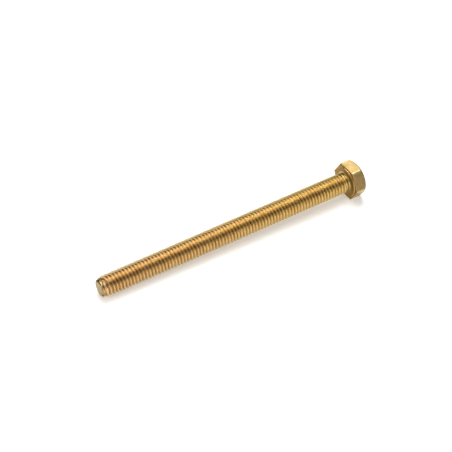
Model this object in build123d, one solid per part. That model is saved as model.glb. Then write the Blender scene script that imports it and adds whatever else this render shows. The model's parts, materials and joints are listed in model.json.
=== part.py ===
from build123d import *
from math import cos, radians, tan
import os

# Hexagon-head bolt, M6 x 1.0 x 80, threaded to the head (DIN 933 / ISO 4017 form).
# One piece of brass. Millimetres, +Z up.
# The origin is where the bolt's axis meets the bearing face under the head.
# The axis lies along X: head towards +X, point towards -X, two hexagon flats level.

# Thread (ISO metric coarse, right hand)
thread_d = 6.0
pitch = 1.0
flank_angle = 30.0
groove_depth = 0.6134 * pitch
root_flat = pitch / 6
first_groove = 1.405

# Shank
length = 80.0
neck_d = 5.35
neck_length = 0.7
crest_start = 1.2
fillet_r = 0.5
point_flat_d = 4.2
point_length = 2.0
point_bulge = 0.18

# Head
across_flats = 9.85
head_height = 4.0
washer_face_d = 9.1
washer_face_height = 0.25
top_chamfer_angle = 40.0
top_circle_d = 0.955 * across_flats

# How the thread is cut
turns_per_cut = 4
runout_turns = 1
runout_clearance = 0.1
cut_past_crest = 0.08
cut_past_point = 1.0

thread_r = thread_d / 2
root_r = thread_r - groove_depth
neck_r = neck_d / 2
corner_r = across_flats / 2 / cos(radians(30))


def lie_down(solid):
    """Turn a solid built with its point along +Z so that the point is along -X."""
    return solid.rotate(Axis.Y, -90)


def lathe(*outline):
    """A solid turned about Z from the outline of one half, in the XZ plane."""
    return Solid.revolve(Face(Wire(outline)), 360, Axis.Z)


def at(radius, height):
    return Vector(radius, 0, height)


def blank_shank():
    """The shank before threading: fillet, neck, cone up to the crests, rounded point."""
    fillet_top = at(neck_r + fillet_r, 0)
    neck_top = at(neck_r, fillet_r)
    fillet_mid = at(neck_r + fillet_r * (1 - cos(radians(45))), fillet_r * (1 - cos(radians(45))))
    neck_end = at(neck_r, neck_length)
    crest_top = at(thread_r, crest_start)
    crest_end = at(thread_r, length - point_length)
    point_edge = at(point_flat_d / 2, length)
    chord = point_edge - crest_end
    outward = Vector(chord.Z, 0, -chord.X).normalized()
    point_mid = (crest_end + point_edge) * 0.5 + outward * point_bulge
    return lathe(
        Edge.make_line(at(0, 0), fillet_top),
        Edge.make_three_point_arc(fillet_top, fillet_mid, neck_top),
        Edge.make_line(neck_top, neck_end),
        Edge.make_line(neck_end, crest_top),
        Edge.make_line(crest_top, crest_end),
        Edge.make_three_point_arc(crest_end, point_mid, point_edge),
        Edge.make_line(point_edge, at(0, length)),
        Edge.make_line(at(0, length), at(0, 0)),
    )


def groove(turns, cone_angle=0):
    """The space between two thread ridges, swept round a helix that starts at z = 0."""
    deep = root_flat / 2
    reach = groove_depth + cut_past_crest
    wide = deep + reach * tan(radians(flank_angle))
    corners = [
        at(root_r, -deep),
        at(root_r + reach, -wide),
        at(root_r + reach, wide),
        at(root_r, deep),
    ]
    section = Face(Wire.make_polygon(corners, close=True))
    helix = Edge.make_helix(pitch, turns * pitch, root_r, angle=cone_angle)
    return Solid.sweep(section, Wire([helix]), is_frenet=True)


def threaded_shank():
    """The blank with its groove cut in short stacked stretches, fading out towards the neck."""
    one_cut = groove(turns_per_cut)
    step = turns_per_cut * pitch
    cuts = []
    height = first_groove
    while height < length + cut_past_point:
        cuts.append(one_cut.moved(Location((0, 0, height))))
        height += step
    rise = Vector(neck_r + runout_clearance - root_r, 0, runout_turns * pitch)
    runout = groove(runout_turns, cone_angle=rise.get_angle(Vector(0, 0, 1)))
    runout = runout.rotate(Axis.X, 180).moved(Location((0, 0, first_groove)))
    return blank_shank().cut(*cuts).cut(runout)


def head():
    """A turned blank with its washer face and chamfered top, cut to a hexagon."""
    top_r = top_circle_d / 2
    chamfer_drop = (corner_r - top_r) * tan(radians(top_chamfer_angle))
    blank = lathe(
        Edge.make_line(at(0, 0), at(washer_face_d / 2, 0)),
        Edge.make_line(at(washer_face_d / 2, 0), at(washer_face_d / 2, -washer_face_height)),
        Edge.make_line(at(washer_face_d / 2, -washer_face_height), at(corner_r, -washer_face_height)),
        Edge.make_line(at(corner_r, -washer_face_height), at(corner_r, chamfer_drop - head_height)),
        Edge.make_line(at(corner_r, chamfer_drop - head_height), at(top_r, -head_height)),
        Edge.make_line(at(top_r, -head_height), at(0, -head_height)),
        Edge.make_line(at(0, -head_height), at(0, 0)),
    )
    hexagon = [Vector(corner_r, 0, 0).rotate(Axis.Z, 30 + 60 * i) for i in range(6)]
    bottom = Face(Wire.make_polygon(hexagon, close=True)).moved(Location((0, 0, -head_height - 1)))
    prism = Solid.extrude(bottom, Vector(0, 0, head_height + 2))
    return blank.intersect(prism).solids()[0]


os.makedirs("parts", exist_ok=True)

bolt = lie_down(head().fuse(threaded_shank()))
export_step(bolt, "parts/hex_bolt.step")
box = bolt.bounding_box()
print("hex_bolt", len(bolt.faces()), "faces", round(bolt.volume, 2), "mm3", box.min, box.max)
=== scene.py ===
import json
from math import atan, ceil, cos, hypot, pi, radians, sin, sqrt, tan

import bmesh
import bpy
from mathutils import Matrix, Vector


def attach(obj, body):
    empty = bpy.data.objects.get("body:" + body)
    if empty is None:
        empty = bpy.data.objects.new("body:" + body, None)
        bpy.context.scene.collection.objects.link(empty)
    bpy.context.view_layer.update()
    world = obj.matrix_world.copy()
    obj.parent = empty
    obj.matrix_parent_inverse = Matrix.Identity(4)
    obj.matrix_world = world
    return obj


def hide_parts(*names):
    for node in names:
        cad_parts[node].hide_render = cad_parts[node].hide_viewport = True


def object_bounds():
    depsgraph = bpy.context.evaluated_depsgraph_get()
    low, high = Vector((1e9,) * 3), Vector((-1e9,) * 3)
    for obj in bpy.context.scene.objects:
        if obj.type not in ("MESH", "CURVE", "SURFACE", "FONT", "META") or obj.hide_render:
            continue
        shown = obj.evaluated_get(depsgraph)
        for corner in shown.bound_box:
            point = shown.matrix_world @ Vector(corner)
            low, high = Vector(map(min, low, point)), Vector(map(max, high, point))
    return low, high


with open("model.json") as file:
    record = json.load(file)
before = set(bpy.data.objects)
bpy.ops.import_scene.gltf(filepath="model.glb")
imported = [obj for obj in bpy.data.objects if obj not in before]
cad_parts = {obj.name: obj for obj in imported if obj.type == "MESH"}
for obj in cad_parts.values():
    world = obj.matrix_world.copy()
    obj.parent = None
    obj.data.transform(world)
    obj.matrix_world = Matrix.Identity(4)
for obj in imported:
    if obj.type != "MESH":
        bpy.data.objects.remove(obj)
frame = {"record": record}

# A hexagon-head bolt, M6 x 1.0 x 80, cold headed and thread rolled in brass.
# The bolt lies along X with its head towards +X. "Along" is the distance from the
# bearing face towards the point, so it is -X, and negative in the head.

MM = 0.001
cad_low, cad_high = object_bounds()
mounts = {mount["name"]: mount for mount in frame["record"]["mounts"]}

# Sizes from the frame
length = -cad_low.x
head_height = cad_high.x
flat_distance = cad_high.z
crest_r = mounts["thread"]["dims"]["r_mm"] * MM
crest_end = -mounts["thread"]["pos_m"][0] + mounts["thread"]["dims"]["length_mm"] * MM / 2
crest_start = crest_end - mounts["thread"]["dims"]["length_mm"] * MM

# Thread (ISO metric profile, right hand)
pitch = 1.0 * MM
groove_depth = 0.6134 * pitch
root_round = 0.1443 * pitch
crest_flat = pitch / 8
crest_round = 0.035 * MM
first_groove = 1.405 * MM
runout = 1.0 * pitch
runout_clearance = 0.1 * MM
root_r = crest_r - groove_depth

# Neck and point
neck_r = 2.675 * MM
neck_length = 0.7 * MM
fillet_r = 0.5 * MM
point_r = 2.1 * MM
point_bulge = 0.18 * MM
point_round = 0.15 * MM

# Head
washer_r = 4.55 * MM
washer_height = 0.25 * MM
corner_r = flat_distance / cos(radians(30))
top_r = 0.955 * flat_distance
chamfer_angle = radians(40)
edge_round = 0.09 * MM
washer_round = 0.05 * MM

# Surface: a noise shows patches of about half its scale. The real pits are a few hundredths of
# a millimetre, too fine to show, so the grain is drawn about ten times coarser.
blotch_scale = 2.2 * MM
thread_grain = 0.45 * MM
patch_scale = 2.6 * MM
head_grain = 0.5 * MM
grain_height = 0.02 * MM
shading_round = 0.12 * MM

# Mesh fineness
turn_steps = 60
head_steps = 144
arc_steps = 6

TO_POINT = Vector((-1, 0, 0))
WELD = 0.0005 * MM


def at(radius, along):
    """A place on the outline of one half, straight above the axis."""
    return Vector((-along, 0, radius))


def arc(centre_radius, centre_along, radius, start, end, steps):
    """Places on an arc of the outline. Angle 0 points away from the axis, 90 to the point."""
    places = []
    for i in range(steps + 1):
        angle = radians(start + (end - start) * i / steps)
        places.append(at(centre_radius + radius * cos(angle), centre_along + radius * sin(angle)))
    return places


def chain(bm, places):
    """Joins places by edges and returns the vertices and edges."""
    verts = [bm.verts.new(place) for place in places]
    edges = [bm.edges.new(pair) for pair in zip(verts, verts[1:])]
    return verts + edges


def ridge_outline():
    """One pitch of the thread: from the middle of a ridge, down a groove, to the next."""
    flank = radians(60)
    crest_centre = crest_r - crest_round
    crest_edge = crest_flat / 2 - crest_round * tan(flank / 2)
    half = pitch / 2
    down = arc(crest_centre, -half + crest_edge, crest_round, 0, 60, 2)
    root = arc(root_r + root_round, 0, root_round, 240, 120, arc_steps)
    up = arc(crest_centre, half - crest_edge, crest_round, -60, 0, 2)
    return [at(crest_r, -half)] + down + root + up + [at(crest_r, half)]


def envelope(along):
    """The radius that the ridges reach: neck, cone, crests, then the rounded point."""
    if along < neck_length:
        return neck_r
    if along < crest_start:
        return neck_r + (crest_r - neck_r) * (along - neck_length) / (crest_start - neck_length)
    if along < crest_end:
        return crest_r
    half = Vector((point_r - crest_r, length - crest_end)) / 2
    chord = half.length
    bend = (chord * chord + point_bulge * point_bulge) / (2 * point_bulge)
    inward = Vector((-half.y, half.x)).normalized()
    middle = Vector((crest_r, crest_end)) + half
    centre = middle + inward * (bend - point_bulge)
    return centre.x + sqrt(max(bend * bend - (along - centre.y) ** 2, 0))


def runout_lift(along):
    """How far the groove's floor has risen towards the neck."""
    share = (first_groove - along) / runout
    return (neck_r + runout_clearance - root_r) * min(max(share, 0), 1)


def threaded_part(bm):
    """The helical surface, spun for one turn, repeated, and drawn in at neck and point."""
    start = first_groove - ceil(first_groove / pitch + 1) * pitch
    ridge = chain(bm, [place + TO_POINT * start for place in ridge_outline()])
    bmesh.ops.spin(
        bm, geom=ridge, cent=(0, 0, 0), axis=TO_POINT, dvec=TO_POINT * (pitch / turn_steps),
        angle=2 * pi, steps=turn_steps, use_duplicate=False)
    turns = 1
    while turns * pitch < length - start + pitch:
        every = bm.verts[:] + bm.edges[:] + bm.faces[:]
        copy = bmesh.ops.duplicate(bm, geom=every)["geom"]
        moved = [item for item in copy if isinstance(item, bmesh.types.BMVert)]
        bmesh.ops.translate(bm, verts=moved, vec=TO_POINT * (turns * pitch))
        turns *= 2
    bmesh.ops.remove_doubles(bm, verts=bm.verts[:], dist=WELD)
    neck_cut = fillet_r + (neck_length - fillet_r) / 2
    for cut, outward in ((neck_cut, -TO_POINT), (length, TO_POINT)):
        every = bm.verts[:] + bm.edges[:] + bm.faces[:]
        bmesh.ops.bisect_plane(
            bm, geom=every, dist=WELD, plane_co=TO_POINT * cut, plane_no=outward,
            clear_outer=True, clear_inner=False)
    for vert in bm.verts:
        radius = hypot(vert.co.y, vert.co.z)
        along = -vert.co.x
        wanted = min(radius + runout_lift(along), envelope(along))
        vert.co.y *= wanted / radius
        vert.co.z *= wanted / radius
    return neck_cut


def rim(bm, along):
    """The open edges at one place along the bolt."""
    return [
        edge for edge in bm.edges
        if edge.is_boundary and all(abs(vert.co.x + along) < WELD for vert in edge.verts)
    ]


def close_point(bm):
    """The flat end of the point, inset so that its edge can be rounded."""
    edges = rim(bm, length)
    face = bmesh.ops.contextual_create(bm, geom=edges)["faces"]
    bmesh.ops.bevel(
        bm, geom=[edge for edge in face[0].edges], offset=point_round, segments=3, profile=0.5,
        affect="EDGES", material=-1)


def head_outline():
    """The turned head from the fillet under it, out over the washer face, to the top."""
    blank_r = corner_r + 1 * MM
    fillet = arc(neck_r + fillet_r, fillet_r, fillet_r, 180, 270, arc_steps)
    washer = arc(washer_r - washer_round, -washer_round, washer_round, 90, 0, 3)
    drop = (blank_r - top_r) * tan(chamfer_angle)
    return fillet + washer + [
        at(washer_r, -washer_height),
        at(blank_r, -washer_height),
        at(blank_r, drop - head_height),
        at(top_r, -head_height),
        at(0, -head_height),
    ]


def head_part(bm):
    """The turned blank, cut to a hexagon with two flats level, its edges rounded."""
    outline = chain(bm, head_outline())
    bmesh.ops.spin(
        bm, geom=outline, cent=(0, 0, 0), axis=TO_POINT, dvec=(0, 0, 0), angle=2 * pi,
        steps=head_steps, use_merge=True, use_duplicate=False)
    bmesh.ops.remove_doubles(bm, verts=bm.verts[:], dist=WELD)
    for side in range(6):
        angle = radians(60 * side)
        outward = Vector((0, sin(angle), cos(angle)))
        every = bm.verts[:] + bm.edges[:] + bm.faces[:]
        cut = bmesh.ops.bisect_plane(
            bm, geom=every, dist=WELD, plane_co=outward * flat_distance, plane_no=outward,
            clear_outer=True, clear_inner=False)
        edges = [item for item in cut["geom_cut"] if isinstance(item, bmesh.types.BMEdge)]
        bmesh.ops.contextual_create(bm, geom=edges)
    flats = [face for face in bm.faces if len(face.verts) > 8 and abs(face.normal.x) < 0.1]
    edges = {edge for face in flats for edge in face.edges}
    bmesh.ops.bevel(
        bm, geom=list(edges), offset=edge_round, segments=3, profile=0.5, affect="EDGES",
        clamp_overlap=True, material=-1)


def bolt_mesh():
    bm = bmesh.new()
    head_part(bm)
    head_faces = len(bm.faces)
    shank = bmesh.new()
    neck_cut = threaded_part(shank)
    close_point(shank)
    shank_mesh = bpy.data.meshes.new("shank")
    shank.to_mesh(shank_mesh)
    shank.free()
    bm.from_mesh(shank_mesh)
    bpy.data.meshes.remove(shank_mesh)
    bmesh.ops.bridge_loops(bm, edges=rim(bm, fillet_r) + rim(bm, neck_cut))
    bmesh.ops.remove_doubles(bm, verts=bm.verts[:], dist=WELD)
    bmesh.ops.recalc_face_normals(bm, faces=bm.faces[:])
    for face in bm.faces:
        face.smooth = abs(face.normal.x) < 0.999
    print("bolt", len(bm.faces), "faces, head", head_faces,
          "open edges", sum(not edge.is_manifold for edge in bm.edges),
          "volume mm3", round(bm.calc_volume() * 1e9, 2))
    mesh = bpy.data.meshes.new("bolt")
    bm.to_mesh(mesh)
    bm.free()
    return mesh


def linear(colour):
    """An sRGB hex value as linear red, green, blue and alpha."""
    parts = [int(colour[i:i + 2], 16) / 255 for i in (1, 3, 5)]
    return [c / 12.92 if c <= 0.04045 else ((c + 0.055) / 1.055) ** 2.4 for c in parts] + [1]


def add(tree, kind, settings):
    """Adds a node. A setting is a property, or an input given as a value or as a socket to link."""
    node = tree.nodes.new(kind)
    for name, value in settings.items():
        if isinstance(name, str) and hasattr(node, name):
            setattr(node, name, value)
        elif isinstance(value, bpy.types.NodeSocket):
            tree.links.new(value, node.inputs[name])
        else:
            node.inputs[name].default_value = value
    return node


def bare_brass(name):
    """A new metal material, with sockets for place, its X and its distance from the axis."""
    material = bpy.data.materials.new(name)
    material.use_nodes = True
    tree = material.node_tree
    tree.nodes.clear()
    place = add(tree, "ShaderNodeTexCoord", {}).outputs["Object"]
    parts = add(tree, "ShaderNodeSeparateXYZ", {"Vector": place}).outputs
    across = add(tree, "ShaderNodeCombineXYZ", {"Y": parts["Y"], "Z": parts["Z"]})
    radius = add(tree, "ShaderNodeVectorMath", {"operation": "LENGTH", 0: across.outputs["Vector"]})
    shader = add(tree, "ShaderNodeBsdfPrincipled", {"Metallic": 1.0})
    add(tree, "ShaderNodeOutputMaterial", {"Surface": shader.outputs["BSDF"]})
    return material, shader, place, parts["X"], radius.outputs["Value"]


def thread_brass():
    """Brass with a rolled thread: burnished flanks, the roots painted a darker brown.

    The dies leave smooth flanks that throw one glint a turn. The roots are painted darker brown
    in patches, partly tarnish and partly painted shade; the crests are rubbed clean, and the tone
    is rosier towards the point. Roots and crests catch the light as curves. The sheared end of the
    point is painted greyer and darker, partly its own colour and partly painted shade.
    """
    material, shader, place, x, radius = bare_brass("thread rolled brass")
    tree = material.node_tree
    blotch = add(tree, "ShaderNodeTexNoise", {
        "Vector": place, "Scale": 1 / blotch_scale, "Detail": 2.0})
    grain = add(tree, "ShaderNodeTexNoise", {
        "Vector": place, "Scale": 1 / thread_grain, "Detail": 3.0})
    to_head = add(tree, "ShaderNodeMapRange", {
        "Value": x, "From Min": -crest_end, "From Max": -crest_start})
    tone = add(tree, "ShaderNodeMix", {
        "data_type": "RGBA", "Factor": to_head.outputs["Result"],
        6: linear("#DCC29A"), 7: linear("#DCC488")})
    # Painted shade and tarnish: the roots are painted darker brown, in patches.
    in_root = add(tree, "ShaderNodeMapRange", {
        "interpolation_type": "SMOOTHSTEP", "Value": radius, "From Min": root_r,
        "From Max": root_r + 0.6 * groove_depth, "To Min": 1.0, "To Max": 0.0})
    patchy = add(tree, "ShaderNodeMapRange", {
        "Value": blotch.outputs["Fac"], "From Min": 0.35, "From Max": 0.65, "To Min": 0.5})
    dimmed = add(tree, "ShaderNodeMath", {
        "operation": "MULTIPLY", 0: in_root.outputs["Result"], 1: patchy.outputs["Result"]})
    root_tarnish_and_shade = add(tree, "ShaderNodeMix", {
        "data_type": "RGBA", "Factor": dimmed.outputs["Value"], 6: tone.outputs[2],
        7: linear("#B08A54")})
    on_crest = add(tree, "ShaderNodeMapRange", {
        "Value": radius, "From Min": crest_r - 0.2 * groove_depth, "From Max": crest_r,
        "To Max": 0.35})
    colour = add(tree, "ShaderNodeMix", {
        "data_type": "RGBA", "Factor": on_crest.outputs["Result"], 6: root_tarnish_and_shade.outputs[2],
        7: linear("#E4D4A8")})
    # The end face is painted greyer and darker: partly the sheared face's own colour, partly
    # painted shade.
    at_end = add(tree, "ShaderNodeMapRange", {
        "Value": x, "From Min": -length + 0.3 * MM, "From Max": -length + 0.02 * MM})
    end_face_and_shade = add(tree, "ShaderNodeMix", {
        "data_type": "RGBA", "Factor": at_end.outputs["Result"], 6: colour.outputs[2],
        7: linear("#A79670")})
    tree.links.new(end_face_and_shade.outputs[2], shader.inputs["Base Color"])
    gloss = add(tree, "ShaderNodeMapRange", {
        "Value": grain.outputs["Fac"], "From Min": 0.3, "From Max": 0.7, "To Min": 0.28,
        "To Max": 0.42})
    tree.links.new(gloss.outputs["Result"], shader.inputs["Roughness"])
    rounding = add(tree, "ShaderNodeBevel", {"samples": 8, "Radius": shading_round})
    bump = add(tree, "ShaderNodeBump", {
        "Height": grain.outputs["Fac"], "Strength": 0.25, "Distance": grain_height,
        "Normal": rounding.outputs["Normal"]})
    tree.links.new(bump.outputs["Normal"], shader.inputs["Normal"])
    return material


def headed_brass():
    """Brass formed cold in a die: flats that reflect softly, with faint warm and green patches.

    The patches are 1 to 2 mm across and the skin is finely pitted. The hexagon's corners and the
    washer face's rim are rubbed bright. The underside is matt and painted darker, a painted
    shade, and the chamfer is painted dark, a painted shade.
    """
    material, shader, place, x, radius = bare_brass("cold headed brass")
    tree = material.node_tree
    fillet_edge = neck_r + fillet_r
    chamfer_edge = head_height + top_r * tan(chamfer_angle)
    patch = add(tree, "ShaderNodeTexNoise", {
        "Vector": place, "Scale": 1 / patch_scale, "Detail": 2.0})
    grain = add(tree, "ShaderNodeTexNoise", {
        "Vector": place, "Scale": 1 / head_grain, "Detail": 3.0})
    warm = add(tree, "ShaderNodeMapRange", {
        "interpolation_type": "SMOOTHSTEP", "Value": patch.outputs["Fac"],
        "From Min": 0.38, "From Max": 0.62})
    tone = add(tree, "ShaderNodeMix", {
        "data_type": "RGBA", "Factor": warm.outputs["Result"], 6: linear("#B4A070"),
        7: linear("#C8AC80")})
    rubbed = add(tree, "ShaderNodeMapRange", {
        "interpolation_type": "SMOOTHSTEP", "Value": radius, "From Min": 0.94 * corner_r,
        "From Max": corner_r})
    washer_rim = add(tree, "ShaderNodeMath", {
        "operation": "COMPARE", 0: radius, 1: washer_r, 2: washer_round})
    clean = add(tree, "ShaderNodeMath", {
        "operation": "MAXIMUM", 0: rubbed.outputs["Result"], 1: washer_rim.outputs["Value"]})
    colour = add(tree, "ShaderNodeMix", {
        "data_type": "RGBA", "Factor": clean.outputs["Value"], 6: tone.outputs[2],
        7: linear("#E0CA9C")})
    # Painted shade: the underside's colour is painted darker; it is also made matt.
    beneath = add(tree, "ShaderNodeMapRange", {
        "Value": x, "From Min": washer_height + 0.08 * MM, "From Max": washer_height})
    beyond_fillet = add(tree, "ShaderNodeMapRange", {
        "Value": radius, "From Min": fillet_edge, "From Max": fillet_edge + 0.2 * MM})
    matt_and_shade_ring = add(tree, "ShaderNodeMath", {
        "operation": "SUBTRACT", "use_clamp": True, 0: beyond_fillet.outputs["Result"],
        1: washer_rim.outputs["Value"]})
    under = add(tree, "ShaderNodeMath", {
        "operation": "MULTIPLY", 0: beneath.outputs["Result"], 1: matt_and_shade_ring.outputs["Value"]})
    # Painted shade: the chamfer round the top of the head is painted dark brown.
    cone = add(tree, "ShaderNodeMath", {
        "operation": "MULTIPLY_ADD", 0: radius, 1: tan(chamfer_angle), 2: x})
    chamfer = add(tree, "ShaderNodeMapRange", {
        "Value": cone.outputs["Value"], "From Min": chamfer_edge - 0.06 * MM,
        "From Max": chamfer_edge - 0.02 * MM})
    chamfer_shade = add(tree, "ShaderNodeMix", {
        "data_type": "RGBA", "Factor": chamfer.outputs["Result"], 6: colour.outputs[2],
        7: linear("#7A6238")})
    dimmed = add(tree, "ShaderNodeMix", {
        "data_type": "RGBA", "Factor": under.outputs["Value"], 6: chamfer_shade.outputs[2],
        7: linear("#AC9362")})
    tree.links.new(dimmed.outputs[2], shader.inputs["Base Color"])
    gloss = add(tree, "ShaderNodeMapRange", {
        "Value": grain.outputs["Fac"], "From Min": 0.3, "From Max": 0.7, "To Min": 0.27,
        "To Max": 0.42})
    matt = add(tree, "ShaderNodeMath", {
        "operation": "MULTIPLY_ADD", 0: under.outputs["Value"], 1: 0.22,
        2: gloss.outputs["Result"]})
    tree.links.new(matt.outputs["Value"], shader.inputs["Roughness"])
    bump = add(tree, "ShaderNodeBump", {
        "Height": grain.outputs["Fac"], "Strength": 0.2, "Distance": grain_height})
    tree.links.new(bump.outputs["Normal"], shader.inputs["Normal"])
    return material


bolt = bpy.data.objects.new("bolt", bolt_mesh())
bpy.context.collection.objects.link(bolt)
bolt.data.materials.append(headed_brass())
bolt.data.materials.append(thread_brass())
for face in bolt.data.polygons:
    face.material_index = 1 if face.center.x < -fillet_r else 0
weighted = bolt.modifiers.new("even shading", "WEIGHTED_NORMAL")
weighted.mode = "FACE_AREA_WITH_ANGLE"
weighted.keep_sharp = True
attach(bolt, "root")
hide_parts("hex_bolt")

# Floor: it meets the lower edge of the head and the last crests, so it is a little tilted.
# It glows faintly from below, so the shadow stays pale.
floor_tilt = atan((flat_distance - crest_r) / crest_end)
bpy.ops.mesh.primitive_plane_add(size=4)
floor = bpy.context.object
floor.name = "floor"
floor.rotation_euler = (0, floor_tilt, 0)
floor.location = (0, 0, -flat_distance)
acrylic = bpy.data.materials.new("opal acrylic, cast matt")
acrylic.use_nodes = True
opal = acrylic.node_tree.nodes["Principled BSDF"].inputs
opal["Base Color"].default_value = linear("#F4F4F3")
opal["Roughness"].default_value = 0.9
opal["Emission Color"].default_value = linear("#FFFFFF")
opal["Emission Strength"].default_value = 0.25
floor.data.materials.append(acrylic)

# Light
world = bpy.data.worlds.new("studio")
bpy.context.scene.world = world
world.use_nodes = True
sky = world.node_tree.nodes["Background"].inputs
sky["Color"].default_value = linear("#FFFFFF")
sky["Strength"].default_value = 0.05
lamp_distance = 0.75


def soft_box(name, azimuth, elevation, size, power):
    """A square lamp that faces the middle of the bolt."""
    lamp = bpy.data.lights.new(name, "AREA")
    lamp.shape = "SQUARE"
    lamp.size = size
    lamp.energy = power
    box = bpy.data.objects.new(name, lamp)
    a, e = radians(azimuth), radians(elevation)
    back = Vector((sin(a) * cos(e), -cos(a) * cos(e), sin(e)))
    box.location = Vector((-length / 2, 0, 0)) + back * lamp_distance
    box.rotation_mode = "QUATERNION"
    box.rotation_quaternion = back.to_track_quat("Z", "Y")
    bpy.context.collection.objects.link(box)


soft_box("back box", 148, 60, 0.5, 2.3)
soft_box("top box", 0, 89, 0.45, 1.3)
soft_box("front box", -22, 9, 0.42, 1.2)
soft_box("camera side box", -32, 48, 0.5, 0.2)
soft_box("left box", -77, 35, 0.42, 0.75)
soft_box("far left box", -122, 12, 0.4, 0.5)
soft_box("right box", 28, 12, 0.36, 0.2)

# Camera
view_azimuth = radians(-32.03)
view_elevation = radians(43.71)
aim = Vector((-33.57, 10.65, -9.18)) * MM
camera = bpy.data.objects.new("camera", bpy.data.cameras.new("camera"))
bpy.context.collection.objects.link(camera)
back = Vector((
    sin(view_azimuth) * cos(view_elevation), -cos(view_azimuth) * cos(view_elevation),
    sin(view_elevation)))
camera.location = aim + back * 409.2 * MM
camera.rotation_mode = "QUATERNION"
camera.rotation_quaternion = back.to_track_quat("Z", "Y")
camera.data.lens = 113.53
camera.data.sensor_width = 36
camera.data.clip_start = 0.01
bpy.context.scene.camera = camera

# Tone: a white ground and deep brown shades at once
bpy.context.scene.view_settings.view_transform = "Standard"
bpy.context.scene.view_settings.look = "High Contrast"
